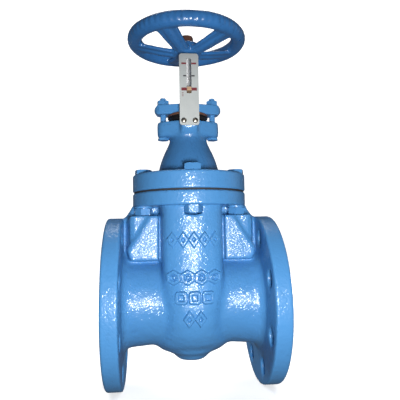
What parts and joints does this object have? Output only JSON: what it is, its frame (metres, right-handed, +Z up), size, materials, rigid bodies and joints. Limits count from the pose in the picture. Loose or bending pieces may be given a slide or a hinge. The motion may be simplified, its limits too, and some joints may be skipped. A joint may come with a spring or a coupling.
{
  "type": "flanged wedge gate valve with handwheel and position indicator",
  "caption": "Blue cast-iron flanged gate valve, shut, with a spoked handwheel and a travelling pointer on a slotted position plate.",
  "frame": {"origin": "crossing of the pipe axis and the stem axis", "axes": "+X along the pipe to the outlet flange, +Z up the stem to the handwheel, position plate on the -Y side"},
  "size_m": [0.203, 0.2, 0.4306],
  "materials": {
    "paint_blue": "glossy medium-blue enamel over cast iron, lightly cast-textured",
    "steel_stem": "turned stainless steel, satin",
    "brass": "machined brass, slightly dulled",
    "gland_bronze": "dull brown bronze",
    "graphite": "black compressed packing",
    "gasket_fibre": "dark fibre sheet",
    "plate_white": "off-white lacquered aluminium with printed scale bars",
    "screw_steel": "plated steel screws",
    "nut_brown": "dark brown oxidised steel",
    "iron_trim": "bare cast iron with grey primer",
    "seat_bronze": "machined bronze seat face"
  },
  "bodies": {
    "valve_body": {"back_seat_bush": "brass", "body_casting": "paint_blue", "bonnet_bolt_1": "paint_blue", "bonnet_bolt_2": "paint_blue", "bonnet_bolt_3": "paint_blue", "bonnet_bolt_4": "paint_blue", "bonnet_bolt_5": "paint_blue", "bonnet_bolt_6": "paint_blue", "bonnet_casting": "paint_blue", "bonnet_gasket": "gasket_fibre", "bonnet_nut_1": "paint_blue", "bonnet_nut_2": "paint_blue", "bonnet_nut_3": "paint_blue", "bonnet_nut_4": "paint_blue", "bonnet_nut_5": "paint_blue", "bonnet_nut_6": "paint_blue", "bonnet_washer_2": "paint_blue", "bonnet_washer_3": "paint_blue", "bonnet_washer_5": "paint_blue", "bonnet_washer_6": "paint_blue", "gland_bolt_left": "paint_blue", "gland_bolt_right": "paint_blue", "gland_bush": "gland_bronze", "gland_follower": "paint_blue", "gland_nut_left": "paint_blue", "gland_nut_right": "paint_blue", "packing_ring_1": "graphite", "packing_ring_2": "graphite", "packing_ring_3": "graphite", "plate_screw_left": "screw_steel", "plate_screw_right": "screw_steel", "position_plate": "plate_white", "seat_ring_left": "seat_bronze", "seat_ring_right": "seat_bronze", "thrust_ring": "brass", "thrust_washer": "brass"},
    "spindle": {"stem": "steel_stem", "handwheel": "paint_blue", "handwheel_washer": "nut_brown", "handwheel_nut": "nut_brown"},
    "gate": {"wedge": "iron_trim", "wedge_face_ring_left": "seat_bronze", "wedge_face_ring_right": "seat_bronze", "wedge_nut": "brass"},
    "pointer": {"pointer_nut": "brass"}
  },
  "joints": [
    {"name": "handwheel_turn", "type": "hinge", "parent": "valve_body", "child": "spindle", "pos_m": [0, 0, 0.3], "axis": [0, 0, 1], "range_deg": [0, 6300]},
    {"name": "wedge_lift", "type": "slide", "parent": "valve_body", "child": "gate", "axis": [0, 0, 1], "range_m": [0, 0.0876]},
    {"name": "pointer_travel", "type": "slide", "parent": "valve_body", "child": "pointer", "axis": [0, 0, 1], "range_m": [0, 0.0307]}
  ],
  "couplings": [
    {"joint": "wedge_lift", "follows": "handwheel_turn", "m_per_rad": 0.00079577},
    {"joint": "pointer_travel", "follows": "handwheel_turn", "m_per_rad": 0.00027852}
  ]
}
